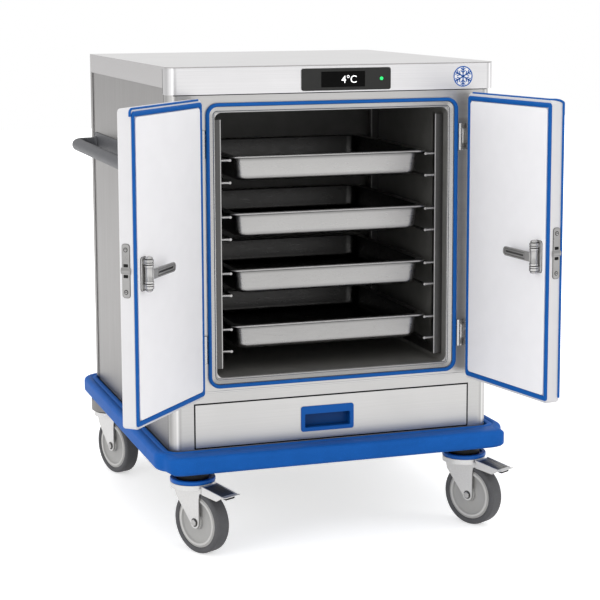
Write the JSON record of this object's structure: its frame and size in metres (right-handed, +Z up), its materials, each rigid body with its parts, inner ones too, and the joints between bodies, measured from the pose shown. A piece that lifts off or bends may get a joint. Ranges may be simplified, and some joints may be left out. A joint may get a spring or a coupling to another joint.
{
  "type": "insulated cold chain cart",
  "caption": "Insulated stainless transport cart with two hinged doors, lift-out pans, a drawer, a side push handle and a wrap-round bumper on swivel casters.",
  "frame": {"origin": "on the floor, under the middle of the bounding box of the whole cart as it stands with its doors open; the cabinet's own middle is a little right of it and further back", "axes": "+Z up from the floor, -Y out of the doors and the drawer, +X to the right of someone who faces the cart"},
  "size_m": [1.004, 1.2408, 1.128],
  "materials": {
    "steel": "brushed satin stainless steel",
    "side_steel": "brushed satin stainless steel, a shade darker",
    "dark_liner": "near black moulded liner",
    "foam": "rigid insulating foam, hidden in the walls",
    "blue_rubber": "blue, soft matt",
    "blue_plastic": "blue, satin",
    "white_panel": "white, satin",
    "dark_bezel": "dark grey, matt",
    "black_window": "black, glossy",
    "green_light": "green, lit",
    "cast_fittings": "satin zinc",
    "zinc_sheet": "bright zinc plate",
    "grey_tyre": "dark grey tread",
    "grey_hub": "light grey",
    "handle_grey": "dark grey, satin",
    "black_enamel": "black enamel",
    "coil": "bare fins"
  },
  "bodies": {
    "cabinet": {"worktop_cap": "steel", "header_panel": "steel", "control_bezel": "dark_bezel", "display_window": "black_window", "status_light": "green_light", "side_panel_left": "side_steel", "side_panel_right": "side_steel", "back_panel": "side_steel", "front_frame": "steel", "frame_seal": "blue_rubber", "wall_insulation": "foam", "cavity_liner": "dark_liner", "pan_rack_left": "steel", "pan_rack_right": "steel", "drawer_runner_left": "side_steel", "drawer_runner_right": "side_steel", "chassis": "side_steel", "bumper": "blue_rubber", "push_handle": "handle_grey", "frame_hinge_lower_left": "cast_fittings", "frame_hinge_upper_left": "cast_fittings", "frame_hinge_lower_right": "cast_fittings", "frame_hinge_upper_right": "cast_fittings", "caster_collar_front_left": "blue_plastic", "caster_collar_front_right": "blue_plastic", "compressor": "black_enamel", "condenser_coil": "coil"},
    "door_left": {"door_shell_left": "white_panel", "door_inner_panel_left": "white_panel", "door_seal_left": "blue_rubber", "latch_base_left": "cast_fittings", "catch_plate_left": "cast_fittings"},
    "latch_left": {"latch_lever_left": "cast_fittings"},
    "door_right": {"door_shell_right": "white_panel", "door_inner_panel_right": "white_panel", "door_seal_right": "blue_rubber", "latch_base_right": "cast_fittings", "catch_plate_right": "cast_fittings"},
    "latch_right": {"latch_lever_right": "cast_fittings"},
    "shelf_pan_1": {"pan_1": "steel"},
    "shelf_pan_2": {"pan_2": "steel"},
    "shelf_pan_3": {"pan_3": "steel"},
    "shelf_pan_4": {"pan_4": "steel"},
    "drawer_unit": {"drawer": "steel", "drawer_pull": "blue_plastic"},
    "swivel_front_left": {"caster_fork_front_left": "zinc_sheet"},
    "wheel_front_left": {"wheel_hub_front_left": "grey_hub", "tyre_front_left": "grey_tyre"},
    "pedal_front_left": {"brake_pedal_front_left": "cast_fittings"},
    "swivel_front_right": {"caster_fork_front_right": "zinc_sheet"},
    "wheel_front_right": {"wheel_hub_front_right": "grey_hub", "tyre_front_right": "grey_tyre"},
    "pedal_front_right": {"brake_pedal_front_right": "cast_fittings"},
    "swivel_rear_left": {"caster_fork_rear_left": "zinc_sheet"},
    "wheel_rear_left": {"wheel_hub_rear_left": "grey_hub", "tyre_rear_left": "grey_tyre"},
    "swivel_rear_right": {"caster_fork_rear_right": "zinc_sheet"},
    "wheel_rear_right": {"wheel_hub_rear_right": "grey_hub", "tyre_rear_right": "grey_tyre"},
    "fan": {"fan_rotor": "black_enamel"}
  },
  "joints": [
    {"name": "door_left_swing", "type": "hinge", "parent": "cabinet", "child": "door_left", "pos_m": [-0.26798, -0.29358, 0], "axis": [0, 0, -1], "range_deg": [-132, 43]},
    {"name": "door_right_swing", "type": "hinge", "parent": "cabinet", "child": "door_right", "pos_m": [0.39802, -0.29358, 0], "axis": [0, 0, 1], "range_deg": [-101.2, 73.8]},
    {"name": "latch_left_turn", "type": "hinge", "parent": "door_left", "child": "latch_left", "pos_m": [-0.44077, -0.52957, 0.706], "axis": [0, 0, 1], "range_deg": [-40, 0]},
    {"name": "latch_right_turn", "type": "hinge", "parent": "door_right", "child": "latch_right", "pos_m": [0.4256, -0.58477, 0.706], "axis": [0, 0, 1], "range_deg": [0, 40]},
    {"name": "pan_1_slide", "type": "slide", "parent": "cabinet", "child": "shelf_pan_1", "axis": [0, -1, 0], "range_m": [0, 0.4]},
    {"name": "pan_2_slide", "type": "slide", "parent": "cabinet", "child": "shelf_pan_2", "axis": [0, -1, 0], "range_m": [0, 0.4]},
    {"name": "pan_3_slide", "type": "slide", "parent": "cabinet", "child": "shelf_pan_3", "axis": [0, -1, 0], "range_m": [0, 0.4]},
    {"name": "pan_4_slide", "type": "slide", "parent": "cabinet", "child": "shelf_pan_4", "axis": [0, -1, 0], "range_m": [0, 0.4]},
    {"name": "drawer_slide", "type": "slide", "parent": "cabinet", "child": "drawer_unit", "axis": [0, -1, 0], "range_m": [0, 0.34]},
    {"name": "swivel_front_left_turn", "type": "hinge", "parent": "cabinet", "child": "swivel_front_left", "pos_m": [-0.27898, -0.24858, 0], "axis": [0, 0, 1], "continuous": true},
    {"name": "wheel_front_left_roll", "type": "hinge", "parent": "swivel_front_left", "child": "wheel_front_left", "pos_m": [-0.2649, -0.27507, 0.075], "axis": [0.8829, 0.4695, 0], "continuous": true},
    {"name": "pedal_front_left_press", "type": "hinge", "parent": "swivel_front_left", "child": "pedal_front_left", "pos_m": [-0.24818, -0.3065, 0.156], "axis": [0.8829, 0.4695, 0], "range_deg": [0, 7]},
    {"name": "swivel_front_right_turn", "type": "hinge", "parent": "cabinet", "child": "swivel_front_right", "pos_m": [0.40902, -0.24858, 0], "axis": [0, 0, 1], "continuous": true},
    {"name": "wheel_front_right_roll", "type": "hinge", "parent": "swivel_front_right", "child": "wheel_front_right", "pos_m": [0.4231, -0.27507, 0.075], "axis": [0.8829, 0.4695, 0], "continuous": true},
    {"name": "pedal_front_right_press", "type": "hinge", "parent": "swivel_front_right", "child": "pedal_front_right", "pos_m": [0.43982, -0.3065, 0.156], "axis": [0.8829, 0.4695, 0], "range_deg": [0, 7]},
    {"name": "swivel_rear_left_turn", "type": "hinge", "parent": "cabinet", "child": "swivel_rear_left", "pos_m": [-0.31498, 0.48342, 0], "axis": [0, 0, 1], "continuous": true},
    {"name": "wheel_rear_left_roll", "type": "hinge", "parent": "swivel_rear_left", "child": "wheel_rear_left", "pos_m": [-0.30472, 0.45523, 0.075], "axis": [0.9397, 0.342, 0], "continuous": true},
    {"name": "swivel_rear_right_turn", "type": "hinge", "parent": "cabinet", "child": "swivel_rear_right", "pos_m": [0.44502, 0.48342, 0], "axis": [0, 0, 1], "continuous": true},
    {"name": "wheel_rear_right_roll", "type": "hinge", "parent": "swivel_rear_right", "child": "wheel_rear_right", "pos_m": [0.45528, 0.45523, 0.075], "axis": [0.9397, 0.342, 0], "continuous": true},
    {"name": "fan_spin", "type": "hinge", "parent": "cabinet", "child": "fan", "pos_m": [-0.03448, 0.55692, 0.393], "axis": [0, 1, 0], "continuous": true}
  ]
}
